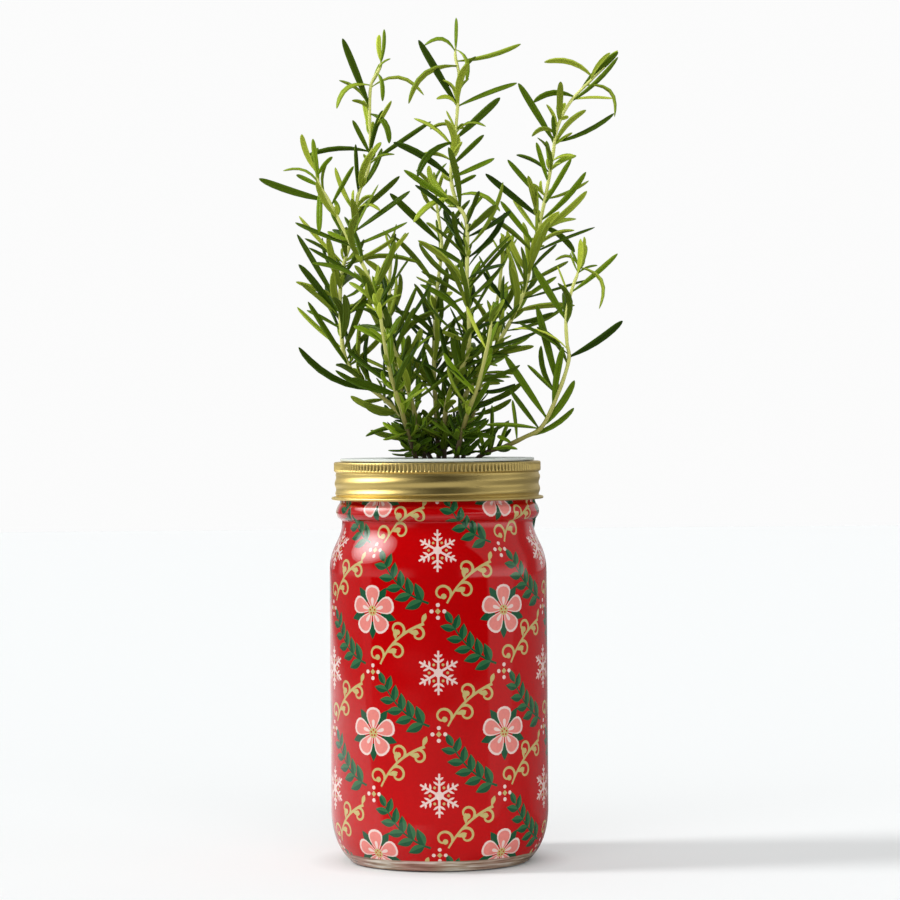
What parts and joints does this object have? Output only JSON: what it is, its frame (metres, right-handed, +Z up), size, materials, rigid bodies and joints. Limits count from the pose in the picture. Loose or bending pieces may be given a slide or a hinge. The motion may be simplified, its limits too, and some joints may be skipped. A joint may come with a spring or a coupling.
{
  "type": "herb garden jar",
  "caption": "Wide-mouth glass jar in a red printed sleeve with a gold screw band, a lid disc and a net pot, growing a rosemary bush over a water reservoir",
  "frame": {"origin": "centre of the jar's foot, on the surface that it stands on", "axes": "+Z up along the jar's axis, -Y towards the viewer of the picture, +X to the viewer's right"},
  "size_m": [0.1542, 0.1078, 0.3538],
  "materials": {
    "glass": "polished",
    "print_film": "gloss",
    "gold_band": "satin",
    "white_plastic": "satin",
    "coir": "matte",
    "felt": "matte",
    "rosemary": "satin"
  },
  "bodies": {
    "jar": {"glass_jar": "glass", "printed_sleeve": "print_film"},
    "lid": {"lid_disc": "white_plastic"},
    "band": {"screw_band": "gold_band"},
    "planter": {"net_pot": "white_plastic", "grow_medium": "coir", "wick": "felt", "sprig_left_tall": "rosemary", "sprig_centre_tall": "rosemary", "sprig_right_tall": "rosemary", "sprig_left_low": "rosemary", "sprig_right_low": "rosemary", "sprig_back_centre": "rosemary", "sprig_back_left": "rosemary", "sprig_back_right": "rosemary", "sprig_front_left": "rosemary", "sprig_front_right": "rosemary"}
  },
  "joints": [
    {"name": "lid_rise", "type": "slide", "parent": "jar", "child": "lid", "axis": [0, 0, 1], "range_m": [0, 0.00635]},
    {"name": "band_turn", "type": "hinge", "parent": "lid", "child": "band", "pos_m": [0, 0, 0.1595], "axis": [0, 0, 1], "range_deg": [0, 450]},
    {"name": "pot_lift", "type": "slide", "parent": "lid", "child": "planter", "axis": [0, 0, 1], "range_m": [0, 0.13]}
  ],
  "couplings": [
    {"joint": "lid_rise", "follows": "band_turn", "m_per_rad": 0.00080851}
  ]
}
